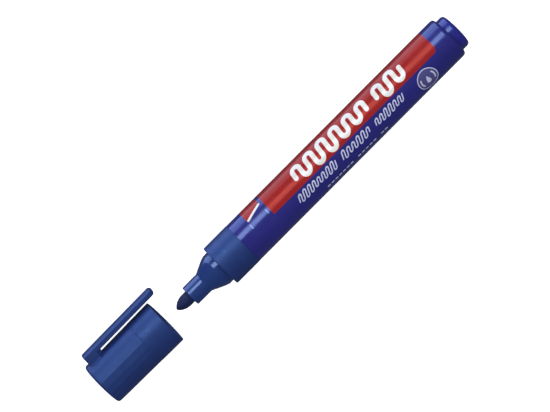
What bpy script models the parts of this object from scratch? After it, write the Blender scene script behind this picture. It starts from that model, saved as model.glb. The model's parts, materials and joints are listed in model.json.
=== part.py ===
"""Felt tip marker with a bullet nib, shown with its cap drawn off the nose.

Run with: blender --background --python part.py

The marker lies along X, with its nib towards -X and its end plug towards +X, and +Z is up. The origin is
on the surface that the marker lies on, under the middle of the whole object. Lengths below are in
millimetres, and MM turns them into Blender's metres.

Turned pieces are outlines of (x, radius) points spun round the marker's axis. On the marker, x is measured
from the front face of the grip collar, where the cap stops. On the cap, x is measured from its mouth.
"""

import math

import bmesh
import bpy

MM = 0.001
SEGMENTS = 40  # flats round a turned piece, one of which faces straight down
SMOOTH_ANGLE = math.radians(35)

# Fits, each on the radius or between two faces
PRESS_GAP = 0.1
SLIDING_GAP = 0.16

# Nib
NIB_RADIUS = 2.25
NIB_TIP_X = -19.8
NIB_POINT_LENGTH = 4.4
NIB_POINT_BLUNTNESS = 1.43  # how the bullet shape fills out behind its tip
NIB_TAIL_X = 24.0
NIB_TAIL_CHAMFER = 0.5

# Nose cone: spout, cone and neck outside, and a skirt inside the collar
SPOUT_RADIUS = 3.66
SPOUT_FRONT_X = -13.7
SPOUT_REAR_X = -7.5
SPOUT_EDGE = 0.25
NECK_RADIUS = 6.15
NECK_FRONT_X = -1.9
NOSE_BORE_REAR_X = -4.0  # where the bore that holds the nib widens into the skirt
NOSE_SKIRT_RADIUS = 5.6
NOSE_SKIRT_WALL = 1.0
NOSE_SKIRT_REAR_X = 13.0

# Grip collar
COLLAR_RADIUS = 7.8
COLLAR_LENGTH = 10.4
COLLAR_EDGE = 0.2
COLLAR_RECESS = 1.1  # the nose cone's shoulder sits this deep in the front face
SPIGOT_LENGTH = 7.5
SPIGOT_LEAD = 0.4

# Barrel
BARREL_RADIUS = 7.75
BARREL_WALL = 1.2
BARREL_REAR_X = 104.3
BARREL_END_ROUND = 1.1

# End plug
PLUG_RADIUS = 6.27
PLUG_REAR_X = 107.7
PLUG_EDGE_ROUND = 1.0
PLUG_SLOPE = 0.35  # the rim of the end face falls away by this much
PLUG_FLAT_RADIUS = 4.0
PLUG_WALL = 1.2
PLUG_END_WALL = 1.8
PLUG_SPIGOT_LENGTH = 5.5
PLUG_GROOVE = 0.2  # a step at the barrel's end, which shows as a fine seam

# Ink reservoir and its film
RESERVOIR_RADIUS = 5.85
FILM_THICKNESS = 0.2
FILM_OVERHANG = 0.5

# Cap
CAP_DRAWN_OFF = 25.0  # from the collar to the cap's mouth
CAP_LENGTH = 29.25
CAP_MOUTH_RADIUS = 8.31
CAP_MOUTH_EDGE = 0.25
CAP_END_RADIUS = 7.95
CAP_END_ROUND = 1.1
CAP_END_DOME = 0.3
CAP_END_FLAT_RADIUS = 4.0
CAP_WALL = 1.4
CAP_END_WALL = 1.6
SNAP_RING_DEPTH = 0.7  # from the mouth to the ring that grips the neck
SNAP_RING_WIDTH = 0.9
SNAP_RING_LEAD = 0.4

# Inner cap, which closes round the spout
INNER_LIP_DEPTH = 9.5
INNER_BORE_DEPTH = 23.5
INNER_WALL = 0.95
INNER_LIP_LEAD = 0.3
INNER_FLANGE = 1.6

# Clip
CLIP_TURN = math.radians(78)  # from straight up towards +Y
CLIP_WIDTH = 6.0
CLIP_THICKNESS = 1.95
CLIP_HEIGHT = 9.25  # from the cap's axis to the underside of the arm, at the clip's rear
CLIP_RISE = 0.3  # the arm's tip stands this much further out
CLIP_START = 2.35  # from the closed end of the cap
CLIP_LENGTH = 31.1
CLIP_EDGE_BEVEL = 0.25
CLIP_TIP_TAPER = 1.8
POST_LENGTH = 5.8
POST_ROUND = 0.5
POST_SINK = 0.9  # how far the post runs into the cap's wall under its middle
HINGE_GAP = 0.3

# Places on the cap, from its mouth
CLIP_REAR_X = CLIP_START - CAP_LENGTH
HINGE_X = CLIP_REAR_X + POST_LENGTH
CLIP_TIP_X = CLIP_REAR_X + CLIP_LENGTH

# Places in the shared frame
STOP_X = (CAP_DRAWN_OFF + CAP_LENGTH - PLUG_REAR_X) / 2
MOUTH_X = STOP_X - CAP_DRAWN_OFF
AXIS_Z = CAP_MOUTH_RADIUS * math.cos(math.pi / SEGMENTS)
CLIP_TOP = CLIP_HEIGHT + CLIP_RISE + CLIP_THICKNESS
CLIP_REACH = CLIP_TOP * math.sin(CLIP_TURN) + CLIP_WIDTH / 2 * math.cos(CLIP_TURN)
AXIS_Y = (CAP_MOUTH_RADIUS - CLIP_REACH) / 2


def clear_scene():
    for obj in list(bpy.data.objects):
        bpy.data.objects.remove(obj, do_unlink=True)


def plastic(name, colour, roughness):
    """A Principled material of one colour."""
    material = bpy.data.materials.new(name)
    material.use_nodes = True
    shader = material.node_tree.nodes["Principled BSDF"]
    shader.inputs["Base Color"].default_value = (*colour, 1.0)
    shader.inputs["Roughness"].default_value = roughness
    shader.inputs["Metallic"].default_value = 0.0
    material.diffuse_color = (*colour, 1.0)
    return material


def place_empty(name, location, turn=0.0, parent=None):
    """An empty at a place in millimetres, turned about X, which pieces are parented to."""
    empty = bpy.data.objects.new(name, None)
    empty.empty_display_size = 5 * MM
    empty.location = [value * MM for value in location]
    empty.rotation_euler.x = turn
    empty.parent = parent
    bpy.context.scene.collection.objects.link(empty)
    return empty


def add_object(name, bm, material, parent):
    """Turns a finished bmesh into a smooth-shaded object."""
    bmesh.ops.recalc_face_normals(bm, faces=bm.faces)
    mesh = bpy.data.meshes.new(name)
    bm.to_mesh(mesh)
    bm.free()
    mesh.shade_smooth()
    mesh.set_sharp_from_angle(angle=SMOOTH_ANGLE)
    mesh.materials.append(material)
    obj = bpy.data.objects.new(name, mesh)
    obj.parent = parent
    bpy.context.scene.collection.objects.link(obj)
    return obj


def arc(centre, size, start, end, steps):
    """Points along a round corner of an outline, from one angle to another in degrees."""
    angles = [math.radians(start + (end - start) * i / steps) for i in range(steps + 1)]
    return [(centre[0] + size * math.cos(a), centre[1] + size * math.sin(a)) for a in angles]


def add_turned(name, outline, material, parent):
    """A turned piece. An outline that starts and ends on the axis is solid, and any other is a ring."""
    bm = bmesh.new()
    half_flat = math.pi / SEGMENTS
    verts = []
    for x, radius in outline:
        place = (x, radius * math.sin(half_flat), -radius * math.cos(half_flat))
        verts.append(bm.verts.new([value * MM for value in place]))
    edges = [bm.edges.new(pair) for pair in zip(verts, verts[1:])]
    if outline[0][1] > 0:
        edges.append(bm.edges.new((verts[-1], verts[0])))
    bmesh.ops.spin(
        bm,
        geom=verts + edges,
        axis=(1, 0, 0),
        angle=2 * math.pi,
        steps=SEGMENTS,
        use_merge=True,
    )
    bmesh.ops.remove_doubles(bm, verts=bm.verts, dist=1e-7)
    return add_object(name, bm, material, parent)


def add_side_cut(name, outline, width, material, parent):
    """A piece cut to an outline of (x, z) points, and as wide as given along Y."""
    bm = bmesh.new()
    near = [bm.verts.new((x * MM, -width / 2 * MM, z * MM)) for x, z in outline]
    swept = bmesh.ops.extrude_face_region(bm, geom=[bm.faces.new(near)])["geom"]
    far = [item for item in swept if isinstance(item, bmesh.types.BMVert)]
    bmesh.ops.translate(bm, vec=(0, width * MM, 0), verts=far)
    return add_object(name, bm, material, parent)


def add_nib(parent, material):
    """A fibre rod with a bullet point, whose tail is pushed into the reservoir."""
    steps = 6
    point = []
    for i in range(steps + 1):
        share = i / steps
        x = NIB_TIP_X + NIB_POINT_LENGTH * share**NIB_POINT_BLUNTNESS
        point.append((x, NIB_RADIUS * math.sin(share * math.pi / 2)))
    tail = [
        (NIB_TAIL_X - NIB_TAIL_CHAMFER, NIB_RADIUS),
        (NIB_TAIL_X, NIB_RADIUS - NIB_TAIL_CHAMFER),
        (NIB_TAIL_X, 0.0),
    ]
    return add_turned("nib", point + tail, material, parent)


def cone_points(steps):
    """The cone between the spout and the neck, with a slight hollow at its start and a round shoulder."""
    points = []
    for i in range(steps + 1):
        share = i / steps
        eased = share * share * (3 - 2 * share)
        rise = (share + eased) / 2
        x = SPOUT_REAR_X + (NECK_FRONT_X - SPOUT_REAR_X) * share
        points.append((x, SPOUT_RADIUS + (NECK_RADIUS - SPOUT_RADIUS) * rise))
    return points


def add_nose_cone(parent, material):
    """Holds the nib in its bore. Its shoulder sits in the collar, and its skirt runs through it."""
    bore = NIB_RADIUS + PRESS_GAP
    chamber = NOSE_SKIRT_RADIUS - NOSE_SKIRT_WALL
    shoulder_x = COLLAR_RECESS - PRESS_GAP
    outline = [
        (SPOUT_FRONT_X, bore),
        (SPOUT_FRONT_X, SPOUT_RADIUS - SPOUT_EDGE),
        (SPOUT_FRONT_X + SPOUT_EDGE, SPOUT_RADIUS),
        *cone_points(6),
        (shoulder_x, NECK_RADIUS),
        (shoulder_x, NOSE_SKIRT_RADIUS),
        (NOSE_SKIRT_REAR_X, NOSE_SKIRT_RADIUS),
        (NOSE_SKIRT_REAR_X, chamber),
        (NOSE_BORE_REAR_X + chamber - bore, chamber),
        (NOSE_BORE_REAR_X, bore),
    ]
    return add_turned("nose_cone", outline, material, parent)


def add_grip_collar(parent, material):
    """The ring that the cap stops against, with a spigot that is pressed into the barrel."""
    recess = NECK_RADIUS + PRESS_GAP
    bore = NOSE_SKIRT_RADIUS + PRESS_GAP
    spigot = BARREL_RADIUS - BARREL_WALL - PRESS_GAP
    rear = COLLAR_LENGTH + SPIGOT_LENGTH
    outline = [
        (0.0, recess),
        (0.0, COLLAR_RADIUS - COLLAR_EDGE),
        (COLLAR_EDGE, COLLAR_RADIUS),
        (COLLAR_LENGTH, COLLAR_RADIUS),
        (COLLAR_LENGTH, spigot),
        (rear - SPIGOT_LEAD, spigot),
        (rear, spigot - SPIGOT_LEAD),
        (rear, bore),
        (COLLAR_RECESS, bore),
        (COLLAR_RECESS, recess),
    ]
    return add_turned("grip_collar", outline, material, parent)


def add_barrel(parent, material):
    """The tube, with its rear end rounded over."""
    front = COLLAR_LENGTH + PRESS_GAP
    bore = BARREL_RADIUS - BARREL_WALL
    centre = (BARREL_REAR_X - BARREL_END_ROUND, BARREL_RADIUS - BARREL_END_ROUND)
    outline = [
        (front, bore),
        (front, BARREL_RADIUS),
        *arc(centre, BARREL_END_ROUND, 90, 0, 4),
        (BARREL_REAR_X, bore),
    ]
    return add_turned("barrel", outline, material, parent)


def add_end_plug(parent, material):
    """Closes the barrel's rear end, and holds the cap when it is put there."""
    spigot = BARREL_RADIUS - BARREL_WALL - PRESS_GAP
    front = BARREL_REAR_X - PLUG_SPIGOT_LENGTH
    hollow = spigot - PLUG_WALL
    hollow_x = PLUG_REAR_X - PLUG_END_WALL
    centre = (PLUG_REAR_X - PLUG_SLOPE - PLUG_EDGE_ROUND, PLUG_RADIUS - PLUG_EDGE_ROUND)
    outline = [
        (hollow_x, 0.0),
        (hollow_x, hollow),
        (front, hollow),
        (front, spigot - SPIGOT_LEAD),
        (front + SPIGOT_LEAD, spigot),
        (BARREL_REAR_X - 2 * PLUG_GROOVE, spigot),
        (BARREL_REAR_X - PLUG_GROOVE, PLUG_RADIUS),
        *arc(centre, PLUG_EDGE_ROUND, 90, 15, 3),
        (PLUG_REAR_X, PLUG_FLAT_RADIUS),
        (PLUG_REAR_X, 0.0),
    ]
    return add_turned("end_plug", outline, material, parent)


def film_ends():
    """The film runs from the collar's spigot to the plug's."""
    front = COLLAR_LENGTH + SPIGOT_LENGTH + PRESS_GAP
    return front, BARREL_REAR_X - PLUG_SPIGOT_LENGTH - PRESS_GAP


def add_reservoir(parent, material):
    """The fibre rod that holds the ink, with a socket for the nib's tail."""
    front, rear = film_ends()
    front += FILM_OVERHANG
    rear -= FILM_OVERHANG
    socket = NIB_RADIUS + PRESS_GAP
    socket_x = NIB_TAIL_X + PRESS_GAP
    outline = [
        (socket_x, 0.0),
        (socket_x, socket),
        (front, socket),
        (front, RESERVOIR_RADIUS),
        (rear, RESERVOIR_RADIUS),
        (rear, 0.0),
    ]
    return add_turned("ink_reservoir", outline, material, parent)


def add_film(parent, material):
    """The sleeve that keeps the ink in the fibre, open at both ends."""
    front, rear = film_ends()
    inner = RESERVOIR_RADIUS + PRESS_GAP
    outer = inner + FILM_THICKNESS
    outline = [(front, inner), (front, outer), (rear, outer), (rear, inner)]
    return add_turned("reservoir_film", outline, material, parent)


def cap_inside(x):
    """The cap's inside radius, which tapers with its outside."""
    share = -x / CAP_LENGTH
    return CAP_MOUTH_RADIUS + (CAP_END_RADIUS - CAP_MOUTH_RADIUS) * share - CAP_WALL


def clip_underside(x):
    """How far the clip's underside stands from the cap's axis."""
    return CLIP_HEIGHT + CLIP_RISE * (x - CLIP_REAR_X) / CLIP_LENGTH


def add_clip_post(parent, material):
    """The block at the clip's root, which is joined to the cap shell."""
    top = clip_underside(HINGE_X) + CLIP_THICKNESS
    foot = CAP_END_RADIUS - POST_SINK
    outline = [
        (HINGE_X, foot),
        (HINGE_X, top),
        *arc((CLIP_REAR_X + POST_ROUND, top - POST_ROUND), POST_ROUND, 90, 180, 3),
        (CLIP_REAR_X, foot),
    ]
    post = add_side_cut("clip_post_tool", outline, CLIP_WIDTH, material, parent)
    post.hide_render = True
    post.display_type = "WIRE"
    return post


def add_cap_shell(parent, clip_plane, material):
    """The cap, closed at one end, with a ring inside its mouth that grips the neck."""
    closed_x = -CAP_LENGTH
    floor_x = closed_x + CAP_END_WALL
    ring = NECK_RADIUS + SLIDING_GAP
    ring_x = -SNAP_RING_DEPTH - SNAP_RING_WIDTH
    mouth_bore = cap_inside(0.0)
    centre = (closed_x + CAP_END_DOME + CAP_END_ROUND, CAP_END_RADIUS - CAP_END_ROUND)
    outline = [
        (closed_x, 0.0),
        (closed_x, CAP_END_FLAT_RADIUS),
        *arc(centre, CAP_END_ROUND, 165, 90, 3),
        (-CAP_MOUTH_EDGE, CAP_MOUTH_RADIUS),
        (0.0, CAP_MOUTH_RADIUS - CAP_MOUTH_EDGE),
        (0.0, mouth_bore),
        (SNAP_RING_LEAD - SNAP_RING_DEPTH, mouth_bore),
        (-SNAP_RING_DEPTH, ring),
        (ring_x, ring),
        (ring_x - SNAP_RING_LEAD, cap_inside(ring_x)),
        (floor_x, cap_inside(floor_x)),
        (floor_x, 0.0),
    ]
    shell = add_turned("cap_shell", outline, material, parent)
    join = shell.modifiers.new("Clip post", "BOOLEAN")
    join.operation = "UNION"
    join.object = add_clip_post(clip_plane, material)
    return shell


def add_inner_cap(parent, material):
    """A blind tube on a flange, which seals round the spout so that the nib stays wet."""
    bore = SPOUT_RADIUS + SLIDING_GAP
    tube = bore + INNER_WALL
    back = PRESS_GAP + CAP_END_WALL - CAP_LENGTH
    flange = cap_inside(back) - PRESS_GAP
    outline = [
        (back, 0.0),
        (back, flange),
        (back + INNER_FLANGE, flange),
        (back + INNER_FLANGE, tube),
        (-INNER_LIP_DEPTH, tube),
        (-INNER_LIP_DEPTH, bore + INNER_LIP_LEAD),
        (-INNER_LIP_DEPTH - INNER_LIP_LEAD, bore),
        (-INNER_BORE_DEPTH, bore),
        (-INNER_BORE_DEPTH, 0.0),
    ]
    return add_turned("inner_cap", outline, material, parent)


def add_pocket_clip(clip_plane, material):
    """The clip's arm. Its parent empty is on the line where it flexes, at the middle of its thickness."""
    hinge_z = clip_underside(HINGE_X) + CLIP_THICKNESS / 2
    hinge = place_empty("clip_hinge", (HINGE_X, 0.0, hinge_z), parent=clip_plane)
    start = HINGE_X + HINGE_GAP
    taper_x = CLIP_TIP_X - CLIP_TIP_TAPER
    tip_round = CLIP_THICKNESS / 3
    tip_centre = (CLIP_TIP_X - tip_round, clip_underside(CLIP_TIP_X) + CLIP_THICKNESS - tip_round)
    outline = [
        (start, clip_underside(start)),
        (taper_x, clip_underside(taper_x)),
        *arc(tip_centre, tip_round, -50, 90, 4),
        (start, clip_underside(start) + CLIP_THICKNESS),
    ]
    local = [(x - HINGE_X, z - hinge_z) for x, z in outline]
    arm = add_side_cut("pocket_clip", local, CLIP_WIDTH, material, hinge)
    bevel = arm.modifiers.new("Moulded edges", "BEVEL")
    bevel.width = CLIP_EDGE_BEVEL * MM
    bevel.segments = 2
    bevel.limit_method = "ANGLE"
    bevel.angle_limit = math.radians(60)
    return arm


def build_marker():
    gloss_blue = plastic("gloss_blue", (0.02, 0.02, 0.15), 0.15)
    matte_blue = plastic("collar_matte_blue", (0.045, 0.10, 0.32), 0.5)
    nose_blue = plastic("nose_blue", (0.015, 0.04, 0.16), 0.18)
    inked_felt = plastic("inked_felt", (0.012, 0.02, 0.09), 0.9)
    ink_fibre = plastic("ink_fibre", (0.02, 0.04, 0.26), 0.95)
    clear_film = plastic("clear_film", (0.55, 0.60, 0.72), 0.2)

    marker = place_empty("marker_axis", (STOP_X, AXIS_Y, AXIS_Z))
    add_barrel(marker, gloss_blue)
    add_grip_collar(marker, matte_blue)
    add_nose_cone(marker, nose_blue)
    add_nib(marker, inked_felt)
    add_reservoir(marker, ink_fibre)
    add_film(marker, clear_film)
    add_end_plug(marker, gloss_blue)


def build_cap():
    matte_blue = plastic("cap_matte_blue", (0.045, 0.10, 0.32), 0.5)
    liner_white = plastic("liner_white", (0.72, 0.75, 0.76), 0.4)

    cap = place_empty("cap_axis", (MOUTH_X, AXIS_Y, AXIS_Z))
    clip_plane = place_empty("clip_plane", (0.0, 0.0, 0.0), turn=-CLIP_TURN, parent=cap)
    add_cap_shell(cap, clip_plane, matte_blue)
    add_inner_cap(cap, liner_white)
    add_pocket_clip(clip_plane, matte_blue)


clear_scene()
build_marker()
build_cap()
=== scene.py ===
"""The looks of a felt tip marker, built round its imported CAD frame.

Lengths are in millimetres, and MM turns them into metres. Round pieces are outlines of (x, radius)
points spun about the marker's axis. On the marker, x is measured from the front face of the grip
collar, and on the cap from its mouth, as in the CAD. Angles round the marker are in degrees: 0 is
straight up, and they grow towards the clip's side.
"""

import json
import math

import bmesh
import bpy
from mathutils import Matrix, Vector


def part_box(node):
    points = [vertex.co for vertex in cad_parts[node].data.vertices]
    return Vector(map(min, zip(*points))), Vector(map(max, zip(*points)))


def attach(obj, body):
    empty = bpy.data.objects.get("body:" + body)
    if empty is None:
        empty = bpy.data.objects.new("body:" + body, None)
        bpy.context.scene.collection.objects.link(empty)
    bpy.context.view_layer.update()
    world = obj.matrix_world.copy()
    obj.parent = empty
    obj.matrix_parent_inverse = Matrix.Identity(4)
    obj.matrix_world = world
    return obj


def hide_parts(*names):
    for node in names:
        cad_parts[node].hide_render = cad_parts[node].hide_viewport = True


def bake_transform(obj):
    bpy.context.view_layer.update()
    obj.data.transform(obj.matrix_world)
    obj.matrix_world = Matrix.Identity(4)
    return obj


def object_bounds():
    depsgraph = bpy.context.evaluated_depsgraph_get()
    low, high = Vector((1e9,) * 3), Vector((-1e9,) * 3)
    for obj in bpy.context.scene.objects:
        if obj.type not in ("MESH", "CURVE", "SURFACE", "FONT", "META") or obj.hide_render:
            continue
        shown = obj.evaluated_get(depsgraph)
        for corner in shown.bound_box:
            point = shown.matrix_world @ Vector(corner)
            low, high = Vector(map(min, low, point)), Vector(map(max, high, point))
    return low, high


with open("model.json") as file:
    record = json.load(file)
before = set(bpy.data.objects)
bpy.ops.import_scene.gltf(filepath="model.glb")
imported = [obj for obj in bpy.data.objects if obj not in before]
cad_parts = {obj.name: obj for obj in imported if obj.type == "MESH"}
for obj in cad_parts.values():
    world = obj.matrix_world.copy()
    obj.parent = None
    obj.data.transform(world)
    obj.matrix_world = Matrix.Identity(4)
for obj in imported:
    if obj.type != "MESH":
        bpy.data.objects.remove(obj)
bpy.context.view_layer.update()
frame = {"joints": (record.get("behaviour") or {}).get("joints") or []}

MM = 0.001
MERGE = 1e-4  # points closer than this are joined
ON_AXIS = 1e-6  # a radius below this is on the axis

# Places, read from the frame
COLLAR_LOW, COLLAR_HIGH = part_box("grip_collar")
CAP_LOW, CAP_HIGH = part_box("cap_shell")
PLUG_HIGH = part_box("end_plug")[1]
AXIS_Y = (COLLAR_LOW.y + COLLAR_HIGH.y) / 2
AXIS_Z = (COLLAR_LOW.z + COLLAR_HIGH.z) / 2
STOP = Vector((COLLAR_LOW.x, AXIS_Y, AXIS_Z))
MOUTH = Vector((CAP_HIGH.x, AXIS_Y, AXIS_Z))
JOINTS = {joint["name"]: joint for joint in frame["joints"]}
FLEX_AXIS = Vector(JOINTS["clip_flex"]["axis"])
CLIP_OUT = FLEX_AXIS.cross(Vector((1, 0, 0))).normalized()
CLIP_ANGLE = math.degrees(math.atan2(CLIP_OUT.y, CLIP_OUT.z))

# Rounds and gaps that several pieces share
SEAM_ROUND = 0.06
TIGHT_ROUND = 0.1
BORE_ROUND = 0.15
SMALL_ROUND = 0.2
RIM_ROUND = 0.3
WIDE_ROUND = 0.4
FIT_GAP = 0.1  # between pieces that sit in one another
SHARED_ROOM = 0.49  # how much of an edge a round takes at most where the edge has two
OWN_ROOM = 0.97  # and where it has one
INSIDE_START = 0.6  # the outline of a ring starts inside it, this far behind its front face

# The nib and the nose
NIB_RADIUS = 2.25
NIB_TIP_X = -19.8
NIB_POINT_LENGTH = 4.4
NIB_BLUNTNESS = 1.43
NIB_TAIL_X = 24.0
NIB_TAIL_ROUND = 0.5
SPOUT_RADIUS = 3.66
SPOUT_FRONT_X = -13.7
SPOUT_REAR_X = -7.5
SPOUT_INSIDE_START = 2.0
NECK_RADIUS = 6.15
NECK_FRONT_X = -1.9
NECK_REAR_X = 1.0
NOSE_SWELL = 0.3
NOSE_BORE = NIB_RADIUS + FIT_GAP
NOSE_BORE_REAR_X = -4.0
CONE_FRONT_LEAD = 0.35  # the spout's last straight point is this far before the cone
CONE_REAR_LEAD = 0.25  # and the neck's first this far behind it
SKIRT_RADIUS = 5.6
SKIRT_BORE = 4.6
SKIRT_BORE_FRONT_X = -1.75
SKIRT_REAR_X = 13.0

# The collar and the barrel
COLLAR_RADIUS = 7.8
COLLAR_LENGTH = 10.4
COLLAR_RECESS = NECK_RADIUS + FIT_GAP
COLLAR_RECESS_DEPTH = 1.1
COLLAR_BORE = 5.7
SPIGOT_RADIUS = 6.45
SPIGOT_REAR_X = 17.9
BARREL_RADIUS = 7.75
BARREL_BORE = 6.55
BARREL_FRONT_X = COLLAR_LENGTH + 0.03
BARREL_REAR_X = 104.3
BARREL_END_ROUND = 1.45

# The plug
PLUG_RADIUS = 6.27
PLUG_REAR_X = (PLUG_HIGH.x - COLLAR_LOW.x) / MM
PLUG_FRONT_X = 98.8
PLUG_BORE = 5.25
PLUG_END_WALL = 1.8
PLUG_STEP_X = BARREL_REAR_X - 0.4  # where its spigot starts to narrow
PLUG_WAIST_X = BARREL_REAR_X - 0.2
PLUG_SLOPE = 0.35  # the rim of the end face falls away by this much
PLUG_EDGE_ROUND = 1.2
PLUG_FACE_RADIUS = 3.6
PLUG_FACE_ROUND = 2.2

# The reservoir and its film
RESERVOIR_FRONT_X = 18.5
RESERVOIR_REAR_X = 98.2
RESERVOIR_RADIUS = 5.85
RESERVOIR_HOLE_REAR_X = NIB_TAIL_X + FIT_GAP
FILM_BORE = 5.95
FILM_RADIUS = 6.15
FILM_OVERHANG = 0.5

# The cap
CAP_LENGTH = (CAP_HIGH.x - CAP_LOW.x) / MM
CAP_MOUTH_RADIUS = 8.31
CAP_END_RADIUS = 7.95
CAP_END_WALL = 1.6
CAP_END_DOME = 0.3
CAP_END_ROUND = 1.1
CAP_FACE_RADIUS = 3.5
CAP_FACE_ROUND = 1.5
CAP_SHOULDER = 0.6  # the end's round has run out this far past the start of the flats
CAP_MOUTH_BORE = 6.95
CAP_MOUTH_BORE_REAR_X = -0.35
SNAP_RING_RADIUS = 6.31
SNAP_RING_FRONT_X = -0.7
SNAP_RING_REAR_X = -1.6
CAP_BORES = ((-2.1, 6.85), (-26.0, 6.55))  # (x, radius) behind the snap ring
CAP_BORE_END_RADIUS = 6.53
FACETS = 22
FACET_EDGE_ANGLE = 18.5  # where one of the edges between two flats lies
FACET_EDGE_WIDTH = 1.1  # degrees from an edge to the first point on its flat
FACET_START = 1.3  # from the closed end
FACET_END = 19.9
FACET_FADE = 0.9  # the flats fade into the end's round over this length
FACET_RUN_OUT = 0.12

# Where the cap's outside has loops of points: from its closed end, and from its mouth
CAP_END_STATIONS = (
    FACET_START + 0.9,
    6.0,
    12.0,
    FACET_END - 0.4,
    FACET_END,
    FACET_END + FACET_RUN_OUT,
    FACET_END + 0.5,
)
CAP_RING_X = -5.0
CAP_MOUTH_X = -1.0

# The sealing sleeve in the cap
LINER_BORE = 3.82
LINER_RADIUS = 4.77
LINER_FRONT_X = -9.5
LINER_BACK_X = 1.7 - CAP_LENGTH
LINER_FLANGE_RADIUS = 6.42
LINER_FLANGE = 1.6
LINER_BOTTOM_X = -23.5
LINER_BOTTOM_RADIUS = 1.5
LINER_BOTTOM_ROUND = 0.5
LINER_CORNER_X = -23.0
LINER_CORNER_ROUND = 0.8

# The clip
CLIP_WIDTH = 6.0
CLIP_THICKNESS = 2.35
CLIP_HEIGHT = 9.22
CLIP_RISE = 0.3
CLIP_START = 2.35
CLIP_LENGTH = 31.1
CLIP_REAR = CLIP_START - CAP_LENGTH
CLIP_TIP_TAPER = 1.8
CLIP_TIP_RISE = 0.85
CLIP_TIP_ROUND = 1.0
CLIP_DOME = 0.7  # how far the clip's domed outer face rises over its edges
CLIP_EDGE_ROUND = 0.25
THIN_DOME_SHARE = 0.5  # the dome's and the rounds' largest share of the height where the clip is thin
THIN_ROUND_SHARE = 0.2
POST_LENGTH = 4.6
POST_FOOT = 6.9
POST_ROUND = 0.5
POST_SIDE_SHARE = 0.8  # how much of the round at the post's end its sides take
WEB_END = 5.8
WEB_WIDTH = 3.6
WEB_OVERLAP = 0.5  # how far the web runs into the post
WEB_SINK = 0.4  # how far the web runs into the arm
WEB_ROUND_SHARE = 0.3
SLIT_ROUND = 0.6
FILLET = 0.25
FILLET_CORNER = 0.4
FILLET_INSET = 0.3  # how far the fillet runs into the post
FILLET_SINK = 0.1  # how far the fillet runs into the cap

# Where the clip has its sections
POST_STATIONS = (0.0, 0.03, 0.08, 0.16, 0.28, 0.42, 0.6, 1.2, 2.0, 3.0, 4.0, POST_LENGTH)  # from its rear
TIP_STATIONS = (1.8, 1.5, 1.2, 0.95, 0.72, 0.52, 0.36, 0.23, 0.13, 0.06, 0.015)  # from its tip
ARM_STEPS = 46
ARM_REAR_GAP = 0.5
ARM_FRONT_GAP = 0.2
SLIT_GAP = 0.02

# The moulded dots: x and angle of each
DOT_RADIUS = 0.8
DOT_HEIGHT = 0.07
CAP_DOT = (23.6 - CAP_LENGTH, 13.0)
COLLAR_DOT = (4.4, 17.5)

# The print on the barrel, as x from the collar and angles
PRINT_LIFT = 0.012
TOP_PRINT_LIFT = 2 * PRINT_LIFT  # for print that lies on print
PRINT_DEPTH = 0.05
PRINT_STEP = 0.4  # the print is cut in strips this wide, so that it follows the barrel
BAND = (24.1, 97.9, -4.0, 112.0)
BAND_ROUNDS = (0.15, 1.8, 0.15, 0.15)

# Scribbles: where each part starts and ends, and how their height sways along a part, as a sine wave
BOLD_SCRIBBLE = {
    "parts": ((37.2, 68.8), (73.6, 85.1)),
    "angle": 27.0,
    "height": 5.6,
    "sway": 0.75,
    "swing": 7.0,
    "phases": (-1.0, -1.0),
    "pitch": 2.9,
    "width": 1.65,
    "slant": 0.12,
}
FINE_SCRIBBLE = {
    "parts": ((33.0, 49.4), (52.5, 64.5), (67.5, 79.6)),
    "angle": -23.0,
    "height": 2.6,
    "sway": 0.5,
    "swing": 9.0,
    "phases": (0.0, 2.0, 4.0),
    "pitch": 1.05,
    "width": 0.45,
    "slant": 0.42,
}

# The dashes, the badge and the line sample
DASH_COUNT = 16
DASH_GAPS = (7, 13)  # the places in the row that stay empty
DASH_START = 42.4
DASH_PITCH = 1.72
DASH_LENGTH = 1.25
DASH_HALF_HEIGHT = 0.28
DASH_ANGLE = -57.5
BADGE_PLACE = (89.4, -39.0)
BADGE_RADIUS = 3.7
BADGE_RING_RADIUS = 3.75
BADGE_RING_WIDTH = 0.30
BADGE_ARC_RADIUS = 2.65
BADGE_ARC_WIDTH = 0.5
BADGE_ARC_STARTS = (150.0, 330.0)
BADGE_ARC_TURN = 60.0
BADGE_ARC_STEPS = 12
DROP_HALF_WIDTH = 1.15
DROP_HALF_HEIGHT = 1.5
DROP_PINCH = 1.5
DROP_SHIFT = 0.1
PANEL = (16.2, 22.9)
PANEL_LOW_ANGLES = (27.5, 41.5)
PANEL_TOP_ANGLE = 100.0
LINE_WIDTH = 0.78
LINE_START_GAP = 0.5
LINE_END_GAP = 0.2
LINE_RISE = 0.3
# the ticks span only the upper highlight band: painted highlight on the panel's printed edges
TICK_ANGLES = (7.0, 20.0)
TICK_OFFSETS = (-0.3, -0.05)
TICK_WIDTH = 0.48

# Colours, linear
BARREL_BLUE = (0.020, 0.018, 0.168)
MATTE_BLUE = (0.014, 0.030, 0.135)
NOSE_BLUE = (0.0145, 0.036, 0.162)
PLUG_BLUE = (0.020, 0.018, 0.205)
BAND_RED = (0.29, 0.016, 0.017)
PRINT_WHITE = (0.76, 0.73, 0.64)
PRINT_PALE = (0.54, 0.56, 0.75)
PRINT_TINGE = (0.080, 0.073, 0.230)
# the ticks' pale colour is painted highlight on the panel's printed edges
PRINT_EDGE_HIGHLIGHT = (0.17, 0.23, 0.47)
NIB_INK = (0.0045, 0.0110, 0.058)
FIBRE_INK = (0.02, 0.04, 0.26)
LINER_WHITE = (0.70, 0.73, 0.76)
LINER_STAIN = (0.25, 0.32, 0.60)
FILM_CLEAR = (0.75, 0.80, 0.88)
FLOOR_WHITE = (0.90, 0.90, 0.90)
GLOSS_TINT = (0.38, 0.54, 1.0)
MATTE_TINT = (0.22, 0.42, 1.0)
RED_TINT = (0.52, 0.13, 0.10)
SIDE_LIGHT = (0.66, 0.77, 1.0)
SURROUND = (0.80, 0.86, 1.0)

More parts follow.
